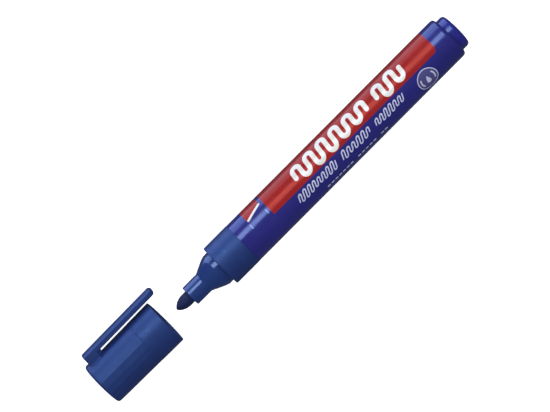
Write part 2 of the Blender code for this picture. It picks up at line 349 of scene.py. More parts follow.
# The studio, in metres
SURROUND_STRENGTH = 0.15
FLOOR_GLOW = 0.8
FLOOR_HALF_WIDTH = 3.0
FLOOR_GAP = 0.05 * MM

# Fineness
SPIN_STEPS = 144
THIN_SPIN_STEPS = 96
HIDDEN_SPIN_STEPS = 64
CIRCLE_STEPS = 48
DOT_STEPS = 32
SMOOTH_ANGLE = math.radians(32)

# The part of a noise's range that holds most of it, and a narrower one for sharper patches
NOISE_LOW = 0.3
NOISE_HIGH = 0.7
CORE_LOW = 0.35
CORE_HIGH = 0.65


# ---------------------------------------------------------------- materials


class Look:
    """A Principled material being put together."""

    def __init__(self, name, colour, roughness, **settings):
        self.material = bpy.data.materials.new(name)
        self.material.use_nodes = True
        self.tree = self.material.node_tree
        self.shader = self.tree.nodes["Principled BSDF"]
        self.material.diffuse_color = (*colour, 1.0)
        self.shader.inputs["Base Color"].default_value = (*colour, 1.0)
        self.shader.inputs["Roughness"].default_value = roughness
        for socket, value in settings.items():
            self.shader.inputs[socket.replace("_", " ")].default_value = value
        self.place = self.add("ShaderNodeTexCoord").outputs["Object"]

    def add(self, kind, values=None, links=None, **settings):
        """A node, with values and links for its inputs, each by name or number."""
        node = self.tree.nodes.new(kind)
        for key, value in settings.items():
            setattr(node, key, value)
        for key, value in (values or {}).items():
            node.inputs[key].default_value = value
        for key, source in (links or {}).items():
            self.tree.links.new(source, node.inputs[key])
        return node

    def noise(self, size, stretch=(1.0, 1.0, 1.0), detail=2.0):
        """Noise whose features are about that many millimetres, stretched along each axis."""
        scale = [1.0 / (size * MM * s) for s in stretch]
        spread = self.add("ShaderNodeMapping", {"Scale": scale}, {"Vector": self.place})
        values = {"Scale": 1.0, "Detail": detail}
        return self.add("ShaderNodeTexNoise", values, {"Vector": spread.outputs[0]}).outputs["Fac"]

    def remap(self, source, low, high, to_low=0.0, to_high=1.0):
        values = {"From Min": low, "From Max": high, "To Min": to_low, "To Max": to_high}
        return self.add("ShaderNodeMapRange", values, {"Value": source}).outputs["Result"]

    def product(self, first, second):
        return self.add("ShaderNodeMath", links={0: first, 1: second}, operation="MULTIPLY").outputs[0]

    def mix(self, factor, first, second):
        """A blend of two colours. Each is a linear colour or an output."""
        node = self.add("ShaderNodeMix", links={0: factor}, data_type="RGBA")
        for socket, value in ((6, first), (7, second)):
            if isinstance(value, tuple):
                node.inputs[socket].default_value = (*value, 1.0)
            else:
                self.tree.links.new(value, node.inputs[socket])
        return node.outputs[2]

    def mottled(self, noise, colour, darkest, lightest):
        """The colour, varied by a noise between two shares of itself."""
        spread = self.remap(noise, NOISE_LOW, NOISE_HIGH)
        return self.mix(spread, scaled(colour, darkest), scaled(colour, lightest))

    def edge_wear(self):
        """How worn the convex edges are, broken up by noise."""
        worn_from, worn_fully = 0.52, 0.60
        sharpness = self.add("ShaderNodeNewGeometry").outputs["Pointiness"]
        edges = self.remap(sharpness, worn_from, worn_fully)
        return self.product(edges, self.remap(self.noise(size=1.2), CORE_LOW, CORE_HIGH))

    def paint(self, colour):
        self.tree.links.new(colour, self.shader.inputs["Base Color"])

    def roughen(self, value):
        self.tree.links.new(value, self.shader.inputs["Roughness"])

    def bumps(self, *layers):
        """Bump layers, each (height output, depth in millimetres)."""
        normal = None
        for height, depth in layers:
            values = {"Strength": 1.0, "Distance": depth * MM}
            bump = self.add("ShaderNodeBump", values, {"Height": height})
            if normal:
                self.tree.links.new(normal, bump.inputs["Normal"])
            normal = bump.outputs["Normal"]
        self.tree.links.new(normal, self.shader.inputs["Normal"])

    def handled(self, clean, smudged):
        """The roughness of smudged patches, hairline scratches along the piece, and slight ripples."""
        patches = self.noise(size=5.0, detail=4.0)
        self.roughen(self.remap(patches, CORE_LOW, NOISE_HIGH, clean, smudged))
        scratches = self.noise(size=0.12, stretch=(60.0, 1.0, 1.0), detail=1.0)
        self.bumps((scratches, 0.0012), (self.noise(size=2.5), 0.006))


def scaled(colour, share):
    return tuple(channel * share for channel in colour)


def gloss_plastic(name, colour, level=0.8):
    """A glossy moulding with faint flow marks."""
    look = Look(name, colour, 0.16, Specular_Tint=(*GLOSS_TINT, 1.0), Specular_IOR_Level=level)
    flow = look.noise(size=9.0, stretch=(3.0, 1.0, 1.0))
    look.paint(look.mottled(flow, colour, 0.90, 1.12))
    look.handled(clean=0.13, smudged=0.24)
    return look.material


def matte_plastic(name, colour):
    """A spark-eroded moulding: fine grain, slight mottling, and paler worn edges."""
    look = Look(name, colour, 0.46, Specular_Tint=(*MATTE_TINT, 1.0), Specular_IOR_Level=0.8)
    even = look.mottled(look.noise(size=4.0, detail=4.0), colour, 0.92, 1.08)
    look.paint(look.mix(look.edge_wear(), even, scaled(colour, 1.7)))
    look.roughen(look.remap(look.noise(size=3.0, detail=3.0), NOISE_LOW, NOISE_HIGH, 0.42, 0.50))
    look.bumps((look.noise(size=0.16), 0.010), (look.noise(size=3.0), 0.02))
    return look.material


def print_ink(name, colour, tint):
    """Screen print under the barrel's gloss, with pinholes where the ink is thin."""
    look = Look(name, colour, 0.18, Specular_IOR_Level=0.8, Specular_Tint=(*tint, 1.0))
    thin = look.remap(look.noise(size=0.35, detail=3.0), 0.70, 0.76)
    cloudy = look.mottled(look.noise(size=6.0), colour, 0.93, 1.05)
    look.paint(look.mix(thin, cloudy, scaled(colour, 0.6)))
    look.handled(clean=0.14, smudged=0.26)
    return look.material


def inked_felt(name, colour):
    """Bonded fibre: streaks along the nib, lighter where it has dried, and a soft sheen."""
    look = Look(name, colour, 0.85, Sheen_Weight=0.06, Sheen_Roughness=0.5, Specular_IOR_Level=0.2)
    fibres = look.noise(size=0.14, stretch=(8.0, 1.0, 1.0), detail=4.0)
    pores = look.noise(size=0.25, detail=3.0)
    dried = look.remap(look.noise(size=1.3), CORE_LOW, CORE_HIGH)
    base = look.mix(dried, scaled(colour, 0.75), scaled(colour, 1.5))
    look.paint(look.mix(look.remap(fibres, 0.45, 0.75), base, scaled(colour, 2.0)))
    look.roughen(look.remap(dried, 0.0, 1.0, 0.6, 0.9))
    look.bumps((fibres, 0.06), (pores, 0.05))
    return look.material


def liner_plastic():
    """Natural plastic, with patches of ink from the spout."""
    look = Look("liner_plastic", LINER_WHITE, 0.38, Specular_IOR_Level=0.5)
    stain = look.remap(look.noise(size=2.2, detail=4.0), 0.56, 0.66)
    milky = look.mix(look.noise(size=3.0), LINER_WHITE, scaled(LINER_WHITE, 0.9))
    look.paint(look.mix(stain, milky, LINER_STAIN))
    look.roughen(look.remap(look.noise(size=2.0), NOISE_LOW, NOISE_HIGH, 0.32, 0.46))
    look.bumps((look.noise(size=0.3), 0.004))
    return look.material


def clear_film():
    look = Look("film_clear", FILM_CLEAR, 0.15, Transmission_Weight=0.85, IOR=1.45)
    look.roughen(look.remap(look.noise(size=2.0), NOISE_LOW, NOISE_HIGH, 0.1, 0.25))
    look.bumps((look.noise(size=1.5, stretch=(4.0, 1.0, 1.0)), 0.02))
    return look.material


def floor_paper():
    glow = {"Emission_Color": (*FLOOR_WHITE, 1.0), "Emission_Strength": FLOOR_GLOW}
    look = Look("studio_floor", FLOOR_WHITE, 0.7, Specular_IOR_Level=0.2, **glow)
    look.paint(look.mix(look.noise(size=60.0), scaled(FLOOR_WHITE, 0.99), FLOOR_WHITE))
    return look.material


# ---------------------------------------------------------------- shapes


def reach(here, other, size):
    """How far a round at here runs towards its neighbour, leaving room for the neighbour's own round."""
    way = Vector(other[:2]) - here
    room = SHARED_ROOM if len(other) > 2 else OWN_ROOM
    return way.normalized() * min(size, way.length * room)


def softened(points, steps=5):
    """An outline whose points are (x, radius) or, at a rounded corner, (x, radius, size of the round)."""
    out = []
    for i, point in enumerate(points):
        here = Vector(point[:2])
        if len(point) == 2:
            out.append(tuple(here))
            continue
        after = points[(i + 1) % len(points)]
        start, end = (here + reach(here, other, point[2]) for other in (points[i - 1], after))
        for k in range(steps + 1):
            t = k / steps
            out.append(tuple(start * (1 - t) ** 2 + here * (2 * t * (1 - t)) + end * t * t))
    return out


def shade_smooth(mesh):
    mesh.shade_smooth()
    mesh.set_sharp_from_angle(angle=SMOOTH_ANGLE)


def make_piece(name, bm, origin, material):
    """An object at a place on the marker's axis, from a bmesh in millimetres."""
    bmesh.ops.recalc_face_normals(bm, faces=bm.faces)
    bmesh.ops.scale(bm, vec=(MM, MM, MM), verts=bm.verts)
    mesh = bpy.data.meshes.new(name)
    bm.to_mesh(mesh)
    bm.free()
    shade_smooth(mesh)
    mesh.materials.append(material)
    obj = bpy.data.objects.new(name, mesh)
    obj.location = origin
    bpy.context.scene.collection.objects.link(obj)
    return obj


def spun(name, outline, origin, material, body, replaced, steps=SPIN_STEPS):
    """A turned piece. An outline that starts and ends on the axis is solid, and any other is a ring."""
    bm = bmesh.new()
    verts = [bm.verts.new((x, 0.0, radius)) for x, radius in outline]
    edges = [bm.edges.new(pair) for pair in zip(verts, verts[1:])]
    if outline[0][1] > 0:
        edges.append(bm.edges.new((verts[-1], verts[0])))
    full = 2 * math.pi
    bmesh.ops.spin(bm, geom=verts + edges, axis=(1, 0, 0), angle=full, steps=steps, use_merge=True)
    bmesh.ops.remove_doubles(bm, verts=bm.verts, dist=MERGE)
    piece = make_piece(name, bm, origin, material)
    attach(piece, body)
    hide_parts(replaced)


def marker_piece(name, outline, material, replaced, steps=SPIN_STEPS):
    spun(name, outline, STOP, material, "marker", replaced, steps)


def around(x, radius, degrees):
    """A point on the marker, in millimetres from the piece's origin."""
    angle = math.radians(degrees)
    return Vector((x, radius * math.sin(angle), radius * math.cos(angle)))


# ---------------------------------------------------------------- the marker


def make_nib():
    steps = 28
    point = []
    for i in range(steps + 1):
        share = i / steps
        x = NIB_TIP_X + NIB_POINT_LENGTH * share**NIB_BLUNTNESS
        point.append((x, NIB_RADIUS * math.sin(share * math.pi / 2)))
    tail = softened([
        (NIB_TAIL_X - 2 * NIB_TAIL_ROUND, NIB_RADIUS),
        (NIB_TAIL_X, NIB_RADIUS, NIB_TAIL_ROUND),
        (NIB_TAIL_X, 0.0),
    ])
    felt = inked_felt("inked_felt", NIB_INK)
    marker_piece("felt_nib", point + tail, felt, "nib", THIN_SPIN_STEPS)


def nose_cone_points():
    """The slightly hollow cone between the spout and the neck."""
    steps = 14
    cone = []
    for i in range(steps + 1):
        share = i / steps
        swell = NOSE_SWELL * share * share * (1 - share)
        x = SPOUT_REAR_X + (NECK_FRONT_X - SPOUT_REAR_X) * share
        cone.append((x, SPOUT_RADIUS + (NECK_RADIUS - SPOUT_RADIUS) * (share + swell)))
    return cone


def make_nose():
    outline = softened([
        (SPOUT_FRONT_X + SPOUT_INSIDE_START, NOSE_BORE),
        (SPOUT_FRONT_X, NOSE_BORE, BORE_ROUND),
        (SPOUT_FRONT_X, SPOUT_RADIUS, RIM_ROUND),
        (SPOUT_REAR_X - CONE_FRONT_LEAD, SPOUT_RADIUS),
        *nose_cone_points(),
        (NECK_FRONT_X + CONE_REAR_LEAD, NECK_RADIUS),
        (NECK_REAR_X, NECK_RADIUS, TIGHT_ROUND),
        (NECK_REAR_X, SKIRT_RADIUS),
        (SKIRT_REAR_X, SKIRT_RADIUS, RIM_ROUND),
        (SKIRT_REAR_X, SKIRT_BORE, RIM_ROUND),
        (SKIRT_BORE_FRONT_X, SKIRT_BORE, WIDE_ROUND),
        (NOSE_BORE_REAR_X, NOSE_BORE),
    ])
    gloss = gloss_plastic("nose_gloss", NOSE_BLUE, level=0.95)
    marker_piece("nose", outline, gloss, "nose_cone")


def make_collar():
    outline = softened([
        (INSIDE_START, COLLAR_RECESS),
        (0.0, COLLAR_RECESS, TIGHT_ROUND),
        (0.0, COLLAR_RADIUS, RIM_ROUND),
        (COLLAR_LENGTH, COLLAR_RADIUS, SEAM_ROUND),
        (COLLAR_LENGTH, SPIGOT_RADIUS),
        (SPIGOT_REAR_X, SPIGOT_RADIUS, WIDE_ROUND),
        (SPIGOT_REAR_X, COLLAR_BORE, TIGHT_ROUND),
        (COLLAR_RECESS_DEPTH, COLLAR_BORE),
        (COLLAR_RECESS_DEPTH, COLLAR_RECESS),
    ])
    matte = matte_plastic("collar_matte", MATTE_BLUE)
    marker_piece("collar", outline, matte, "grip_collar")


def make_barrel():
    outline = softened([
        (COLLAR_LENGTH + INSIDE_START, BARREL_BORE),
        (BARREL_FRONT_X, BARREL_BORE, TIGHT_ROUND),
        (BARREL_FRONT_X, BARREL_RADIUS, SEAM_ROUND),
        (BARREL_REAR_X, BARREL_RADIUS, BARREL_END_ROUND),
        (BARREL_REAR_X, BARREL_BORE),
    ], steps=8)
    gloss = gloss_plastic("barrel_gloss", BARREL_BLUE)
    marker_piece("barrel_tube", outline, gloss, "barrel")


def make_plug():
    outline = softened([
        (PLUG_REAR_X - PLUG_END_WALL, 0.0),
        (PLUG_REAR_X - PLUG_END_WALL, PLUG_BORE),
        (PLUG_FRONT_X, PLUG_BORE, TIGHT_ROUND),
        (PLUG_FRONT_X, SPIGOT_RADIUS, WIDE_ROUND),
        (PLUG_STEP_X, SPIGOT_RADIUS),
        (PLUG_WAIST_X, PLUG_RADIUS),
        (PLUG_REAR_X - PLUG_SLOPE, PLUG_RADIUS, PLUG_EDGE_ROUND),
        (PLUG_REAR_X, PLUG_FACE_RADIUS, PLUG_FACE_ROUND),
        (PLUG_REAR_X, 0.0),
    ], steps=7)
    gloss = gloss_plastic("plug_gloss", PLUG_BLUE)
    marker_piece("plug", outline, gloss, "end_plug")


def make_reservoir():
    """The ink fibre, with a hole in its front for the nib's tail, and the film round it."""
    fibre = inked_felt("ink_fibre", FIBRE_INK)
    outline = softened([
        (RESERVOIR_HOLE_REAR_X, 0.0),
        (RESERVOIR_HOLE_REAR_X, NOSE_BORE),
        (RESERVOIR_FRONT_X, NOSE_BORE, SMALL_ROUND),
        (RESERVOIR_FRONT_X, RESERVOIR_RADIUS, RIM_ROUND),
        (RESERVOIR_REAR_X, RESERVOIR_RADIUS, RIM_ROUND),
        (RESERVOIR_REAR_X, 0.0),
    ])
    marker_piece("fibre_rod", outline, fibre, "ink_reservoir", HIDDEN_SPIN_STEPS)
    front = RESERVOIR_FRONT_X - FILM_OVERHANG
    rear = RESERVOIR_REAR_X + FILM_OVERHANG
    sleeve = [(front, FILM_BORE), (front, FILM_RADIUS), (rear, FILM_RADIUS), (rear, FILM_BORE)]
    marker_piece("film_sleeve", sleeve, clear_film(), "reservoir_film", HIDDEN_SPIN_STEPS)


# ---------------------------------------------------------------- the print


def wrap(name, bm, material, lift, radius=BARREL_RADIUS, origin=STOP, body="marker"):
    """Lays flat faces on a round piece, with thickness.

    Their x runs along the piece, and their y is the arc round it.
    """
    low = min(v.co.y for v in bm.verts)
    high = max(v.co.y for v in bm.verts)
    cut = math.floor(low / PRINT_STEP) + 1
    while cut * PRINT_STEP < high:
        geom = bm.verts[:] + bm.edges[:] + bm.faces[:]
        place = (0, cut * PRINT_STEP, 0)
        bmesh.ops.bisect_plane(bm, geom=geom, plane_co=place, plane_no=(0, 1, 0), dist=MERGE)
        cut += 1
    made = bmesh.ops.extrude_face_region(bm, geom=bm.faces[:])["geom"]
    top = {item for item in made if isinstance(item, bmesh.types.BMVert)}
    for vert in bm.verts:
        height = lift if vert in top else -PRINT_DEPTH
        vert.co = around(vert.co.x, radius + height, math.degrees(vert.co.y / radius))
    piece = make_piece(name, bm, origin, material)
    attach(piece, body)


def arc_length(degrees, radius=BARREL_RADIUS):
    return math.radians(degrees) * radius


def polygon(bm, points):
    bm.faces.new([bm.verts.new((x, y, 0.0)) for x, y in points])


def box_points(left, right, low, high, corners, steps=6):
    """A box with its own round at each corner: lower left, lower right, upper right, upper left."""
    centres = (
        (left, low, 1, 1, 180),
        (right, low, -1, 1, 270),
        (right, high, -1, -1, 0),
        (left, high, 1, -1, 90),
    )
    points = []
    for (x, y, inward_x, inward_y, start), size in zip(centres, corners):
        centre_x = x + inward_x * size
        centre_y = y + inward_y * size
        for i in range(steps + 1):
            angle = math.radians(start + 90 * i / steps)
            points.append((centre_x + size * math.cos(angle), centre_y + size * math.sin(angle)))
    return points


def rounded_box(bm, left, right, low, high, corners):
    polygon(bm, box_points(left, right, low, high, corners))


def end_round(centre, outward, half):
    """Points round the end of a stroke, without its two corners."""
    steps = 5
    across = Vector((-outward.y, outward.x))
    turns = [math.pi * i / steps for i in range(1, steps)]
    return [centre + across * half * math.cos(turn) + outward * half * math.sin(turn) for turn in turns]


def stroke(bm, path, width, slant=0.0, middle=0.0):
    """A band of even width along a path, with round ends."""
    half = width / 2
    points = [Vector(p) for p in path]
    left, right = [], []
    for i, point in enumerate(points):
        along = (points[min(i + 1, len(points) - 1)] - points[max(i - 1, 0)]).normalized()
        side = Vector((-along.y, along.x)) * half
        left.append(point + side)
        right.append(point - side)
    start_round = end_round(points[0], (points[0] - points[1]).normalized(), half)
    last_round = end_round(points[-1], (points[-1] - points[-2]).normalized(), half)

    def vert(place):
        return bm.verts.new((place.x + slant * (place.y - middle), place.y, 0.0))

    left = [vert(p) for p in left]
    right = [vert(p) for p in right]
    for i in range(len(points) - 1):
        bm.faces.new((right[i], right[i + 1], left[i + 1], left[i]))
    bm.faces.new([left[0], *[vert(p) for p in reversed(start_round)], right[0]])
    bm.faces.new([right[-1], *[vert(p) for p in reversed(last_round)], left[-1]])


def serpentine(start, end, middle, heights, pitch):
    """Points of a scribble that runs up and down between start and end, its runs as tall as heights says."""
    runs = round((end - start) / pitch)
    step = (end - start) / runs
    half = step / 2
    turn_steps = 8
    points = []
    for i in range(runs + 1):
        x = start + i * step
        up = 1 if i % 2 == 0 else -1
        rise = heights(i / runs) / 2 - half
        points.append((x, middle - up * rise))
        points.append((x, middle + up * rise))
        if i == runs:
            break
        for k in range(1, turn_steps):
            turn = math.pi * k / turn_steps
            points.append((x + half - half * math.cos(turn), middle + up * (rise + half * math.sin(turn))))
    return points


def make_scribble(name, material, lift, parts, angle, height, sway, swing, phases, pitch, width, slant):
    """A scribble in parts, where the original carries lettering. Its height sways along each part."""
    middle = arc_length(angle)
    for i, ((start, end), phase) in enumerate(zip(parts, phases)):

        def heights(share):
            return height + sway * math.sin(swing * share + phase)

        bm = bmesh.new()
        stroke(bm, serpentine(start, end, middle, heights, pitch), width, slant, middle)
        wrap(f"{name}_{i + 1}", bm, material, lift)


def make_band(red):
    bm = bmesh.new()
    left, right, low, high = BAND
    rounded_box(bm, left, right, arc_length(low), arc_length(high), BAND_ROUNDS)
    wrap("red_band", bm, red, PRINT_LIFT)


def make_dashes(pale):
    """A row of fine dashes under the scribble."""
    middle = arc_length(DASH_ANGLE)
    low = middle - DASH_HALF_HEIGHT
    high = middle + DASH_HALF_HEIGHT
    for i in range(DASH_COUNT):
        if i in DASH_GAPS:
            continue
        left = DASH_START + i * DASH_PITCH
        bm = bmesh.new()
        rounded_box(bm, left, left + DASH_LENGTH, low, high, (SMALL_ROUND,) * 4)
        wrap(f"dash_{i + 1:02d}", bm, pale, PRINT_LIFT)


def circle_path(centre, radius, steps=CIRCLE_STEPS, start=0.0, turn=360.0):
    angles = [math.radians(start + turn * i / steps) for i in range(steps + 1)]
    return [(centre[0] + radius * math.cos(a), centre[1] + radius * math.sin(a)) for a in angles]


def disc(bm, centre, radius, steps=CIRCLE_STEPS):
    polygon(bm, circle_path(centre, radius, steps)[:-1])


def ring(bm, centre, radius, width):
    inner = [bm.verts.new((x, y, 0)) for x, y in circle_path(centre, radius - width / 2)[:-1]]
    outer = [bm.verts.new((x, y, 0)) for x, y in circle_path(centre, radius + width / 2)[:-1]]
    for i in range(CIRCLE_STEPS):
        j = (i + 1) % CIRCLE_STEPS
        bm.faces.new((inner[i], outer[i], outer[j], inner[j]))


def drop_points(centre):
    steps = 24
    points = []
    for i in range(steps):
        turn = 2 * math.pi * i / steps
        pinch = math.sin(turn / 2) ** DROP_PINCH
        x = centre[0] + DROP_HALF_WIDTH * math.sin(turn) * pinch
        points.append((x, centre[1] + DROP_HALF_HEIGHT * math.cos(turn) - DROP_SHIFT))
    return points


def make_badge(pale, tinge):
    """A round badge with a drop in it, standing for the printed seal."""
    centre = (BADGE_PLACE[0], arc_length(BADGE_PLACE[1]))
    bm = bmesh.new()
    disc(bm, centre, BADGE_RADIUS)
    wrap("badge_ground", bm, tinge, PRINT_LIFT)
    bm = bmesh.new()
    ring(bm, centre, BADGE_RING_RADIUS, BADGE_RING_WIDTH)
    wrap("badge_ring", bm, pale, TOP_PRINT_LIFT)
    bm = bmesh.new()
    polygon(bm, drop_points(centre))
    wrap("badge_drop", bm, pale, TOP_PRINT_LIFT)
    for i, start in enumerate(BADGE_ARC_STARTS):
        bm = bmesh.new()
        path = circle_path(centre, BADGE_ARC_RADIUS, BADGE_ARC_STEPS, start, BADGE_ARC_TURN)
        stroke(bm, path, BADGE_ARC_WIDTH)
        wrap(f"badge_arc_{i + 1}", bm, pale, TOP_PRINT_LIFT)


def make_line_sample(red, white, faint):
    """A red panel cut off aslant, with a line sample along its edge, and two pale ticks below it at the
    panel's printed edges. Their paleness is painted highlight: they run only across the upper highlight
    band.
    """
    left, right = PANEL
    low_left, low_right = (arc_length(angle) for angle in PANEL_LOW_ANGLES)
    top = arc_length(PANEL_TOP_ANGLE)
    bm = bmesh.new()
    polygon(bm, [(left, low_left), (right, low_right), (right, top), (left, top)])
    wrap("sample_panel", bm, red, PRINT_LIFT)
    steps = 6
    length = right - left - LINE_START_GAP - LINE_END_GAP
    path = []
    for i in range(steps + 1):
        share = i / steps
        x = left + LINE_START_GAP + length * share
        path.append((x, low_left + (low_right - low_left) * share + LINE_RISE))
    bm = bmesh.new()
    stroke(bm, path, LINE_WIDTH)
    wrap("sample_line", bm, white, TOP_PRINT_LIFT)
    # the ticks: painted highlight on the panel's printed edges, only as tall as the upper highlight band
    low, high = (arc_length(angle) for angle in TICK_ANGLES)
    for i, (edge, offset) in enumerate(zip(PANEL, TICK_OFFSETS)):
        bm = bmesh.new()
        rounded_box(bm, edge + offset, edge + offset + TICK_WIDTH, low, high, (BORE_ROUND,) * 4)
        wrap(f"sample_tick_{i + 1}", bm, faint, PRINT_LIFT)


def make_print():
    red = print_ink("print_red", BAND_RED, RED_TINT)
    white = print_ink("print_white", PRINT_WHITE, GLOSS_TINT)
    pale = print_ink("print_pale", PRINT_PALE, GLOSS_TINT)
    make_band(red)
    make_scribble("bold_scribble", white, TOP_PRINT_LIFT, **BOLD_SCRIBBLE)
    make_scribble("fine_scribble", pale, PRINT_LIFT, **FINE_SCRIBBLE)
    make_dashes(pale)
    make_badge(pale, print_ink("print_tinge", PRINT_TINGE, GLOSS_TINT))
    # the ticks' ink is painted highlight on the panel's printed edges
    make_line_sample(red, white, print_ink("print_edge_highlight", PRINT_EDGE_HIGHLIGHT, GLOSS_TINT))


# ---------------------------------------------------------------- the cap


def cap_radius(x):
    """The cap's outer radius, which tapers from its mouth to its closed end."""
    return CAP_MOUTH_RADIUS + (CAP_END_RADIUS - CAP_MOUTH_RADIUS) * -x / CAP_LENGTH


def facet_angles():
    """Angles round the cap with a few points on each flat, close together at its edges.

    Each comes with how far it is from the middle of its flat.
    """
    half = 180.0 / FACETS
    near_edge = half - FACET_EDGE_WIDTH
    offsets = (-half, -near_edge, -half / 2, 0.0, half / 2, near_edge)
    angles = []
    for i in range(FACETS):
        middle = FACET_EDGE_ANGLE + half + 2 * half * i
        angles += [(middle + offset, offset) for offset in offsets]
    return angles


def facet_share(x):
    """1 where the cap has its flats, and 0 where it is round."""
    from_end = CAP_LENGTH + x
    if from_end < FACET_START:
        return max(0.0, 1.0 - (FACET_START - from_end) / FACET_FADE)
    if from_end > FACET_END:
        return max(0.0, 1.0 - (from_end - FACET_END) / FACET_RUN_OUT)
    return 1.0


def cap_outside():
    """(x, radius) points from the closed end to the mouth."""
    end = -CAP_LENGTH
    shoulder = end + FACET_START
    outline = softened([
        (end, 0.0),
        (end, CAP_FACE_RADIUS, CAP_FACE_ROUND),
        (end + CAP_END_DOME, CAP_END_RADIUS, CAP_END_ROUND),
        (shoulder + CAP_SHOULDER, cap_radius(shoulder)),
    ], steps=7)
    places = [*(end + distance for distance in CAP_END_STATIONS), CAP_RING_X, CAP_MOUTH_X]
    return outline + [(x, cap_radius(x)) for x in places]


def cap_inside():
    """(x, radius) points from the mouth, past the ring that snaps on the neck, to the closed end.

    The outside ends where this outline starts, so its first point is left out.
    """
    bottom = CAP_END_WALL - CAP_LENGTH
    return softened([
        (CAP_MOUTH_X, CAP_MOUTH_RADIUS),
        (0.0, CAP_MOUTH_RADIUS, RIM_ROUND),
        (0.0, CAP_MOUTH_BORE, SMALL_ROUND),
        (CAP_MOUTH_BORE_REAR_X, CAP_MOUTH_BORE),
        (SNAP_RING_FRONT_X, SNAP_RING_RADIUS, BORE_ROUND),
        (SNAP_RING_REAR_X, SNAP_RING_RADIUS, SMALL_ROUND),
        *CAP_BORES,
        (bottom, CAP_BORE_END_RADIUS, RIM_ROUND),
        (bottom, 0.0),
    ], steps=4)[1:]


def cap_loop(bm, x, radius, angles, share):
    """The points round the cap at x, or the one point where it closes. share is how flat its flats are."""
    if radius < ON_AXIS:
        return [bm.verts.new((x, 0.0, 0.0))]
    half = math.radians(180.0 / FACETS)
    loop = []
    for angle, offset in angles:
        flat = math.cos(half) / math.cos(math.radians(offset))
        loop.append(bm.verts.new(around(x, radius * (1 - share * (1 - flat)), angle)))
    return loop


def skin_cap(bm, loops, count):
    """Faces between the loops. A loop of one point closes an end."""
    for first, second in zip(loops, loops[1:]):
        for i in range(count):
            j = (i + 1) % count
            if len(first) == 1:
                bm.faces.new((first[0], second[i], second[j]))
            elif len(second) == 1:
                bm.faces.new((first[i], second[0], first[j]))
            else:
                bm.faces.new((first[i], second[i], second[j], first[j]))


def make_cap_shell(material):
    """The cap with its lengthwise flats, which are cut in only on the outside."""
    angles = facet_angles()
    bm = bmesh.new()
    loops = [cap_loop(bm, x, radius, angles, facet_share(x)) for x, radius in cap_outside()]
    loops += [cap_loop(bm, x, radius, angles, 0.0) for x, radius in cap_inside()]
    skin_cap(bm, loops, len(angles))
    cap = make_piece("cap_body", bm, MOUTH, material)
    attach(cap, "cap")
    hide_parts("cap_shell")


def make_liner():
    outline = softened([
        (LINER_BACK_X, 0.0),
        (LINER_BACK_X, LINER_FLANGE_RADIUS, SMALL_ROUND),
        (LINER_BACK_X + LINER_FLANGE, LINER_FLANGE_RADIUS, SMALL_ROUND),
        (LINER_BACK_X + LINER_FLANGE, LINER_RADIUS),
        (LINER_FRONT_X, LINER_RADIUS, SMALL_ROUND),
        (LINER_FRONT_X, LINER_BORE, RIM_ROUND),
        (LINER_CORNER_X, LINER_BORE, LINER_CORNER_ROUND),
        (LINER_BOTTOM_X, LINER_BOTTOM_RADIUS, LINER_BOTTOM_ROUND),
        (LINER_BOTTOM_X, 0.0),
    ])
    white = liner_plastic()
    spun("liner", outline, MOUTH, white, "cap", "inner_cap", THIN_SPIN_STEPS)


# ---------------------------------------------------------------- the clip


def end_drop(distance, size):
    """How far a rounded end has fallen away at that distance from it."""
    if distance >= size:
        return 0.0
    return size - math.sqrt(size**2 - (size - distance) ** 2)


def clip_under(x):
    """How far the clip's underside stands from the cap's axis."""
    return CLIP_HEIGHT + CLIP_RISE * (x - CLIP_REAR) / CLIP_LENGTH


def slit_end(x, size, high, half):
    """Sections that run from a block into the arm's underside, round an inner corner of that size."""
    steps = 8
    stations = []
    for i in range(steps + 1):
        turn = math.radians(90 * i / steps)
        low = clip_under(x) - size * (1 - math.sin(turn))
        stations.append((x + SLIT_GAP + size * (1 - math.cos(turn)), low, high, half))
    return stations


def post_stations(half):
    """Sections of the post that the clip stands on, from its rounded rear."""
    stations = []
    for distance in POST_STATIONS:
        x = CLIP_REAR + distance
        drop = end_drop(distance, POST_ROUND)
        high = clip_under(x) + CLIP_THICKNESS - drop
        stations.append((x, POST_FOOT, high, half - drop * POST_SIDE_SHARE))
    return stations


def arm_stations(start, end, half):
    stations = []
    for i in range(ARM_STEPS + 1):
        x = start + (end - start) * i / ARM_STEPS
        stations.append((x, clip_under(x), clip_under(x) + CLIP_THICKNESS, half))
    return stations


def tip_stations(tip, half):
    """Sections of the rounded tip."""
    stations = []
    for distance in TIP_STATIONS:
        x = tip - distance
        low = clip_under(x) + end_drop(distance, CLIP_TIP_RISE)
        high = clip_under(x) + CLIP_THICKNESS - end_drop(distance, CLIP_TIP_ROUND)
        stations.append((x, low, high, half - end_drop(distance, CLIP_TIP_TAPER)))
    return stations


def clip_stations():
    """Sections along the clip, from its rear to its tip, as (x, lower edge, upper edge, half width)."""
    root = CLIP_REAR + POST_LENGTH
    tip = CLIP_REAR + CLIP_LENGTH
    half = CLIP_WIDTH / 2
    arm_end = tip - CLIP_TIP_TAPER - ARM_FRONT_GAP
    return [
        *post_stations(half),
        *slit_end(root, SMALL_ROUND, clip_under(root) + CLIP_THICKNESS, half),
        *arm_stations(root + ARM_REAR_GAP, arm_end, half),
        *tip_stations(tip, half),
    ]


def clip_section(bm, x, low, high, half):
    """A loop round the clip: flat flanks and a domed outer face."""
    dome = min(CLIP_DOME, (high - low) * THIN_DOME_SHARE)
    size = min(CLIP_EDGE_ROUND, (high - low) * THIN_ROUND_SHARE)
    radius = (half**2 + dome**2) / (2 * dome)
    spread = math.asin(half / radius)
    steps = 14
    outline = [(-half, low, size), (half, low, size), (half, high - dome, size)]
    for i in range(1, steps):
        angle = spread * (1 - 2 * i / steps)
        outline.append((radius * math.sin(angle), high - radius * (1 - math.cos(angle))))
    outline.append((-half, high - dome, size))
    return [bm.verts.new((x, side, out)) for side, out in softened(outline)]


def web_section(bm, x, low, high, half):
    """A loop round the web, square but for its small rounds."""
    size = min(CLIP_EDGE_ROUND, (high - low) * WEB_ROUND_SHARE)
    return [bm.verts.new((x, side, out)) for side, out in box_points(-half, half, low, high, (size,) * 4)]


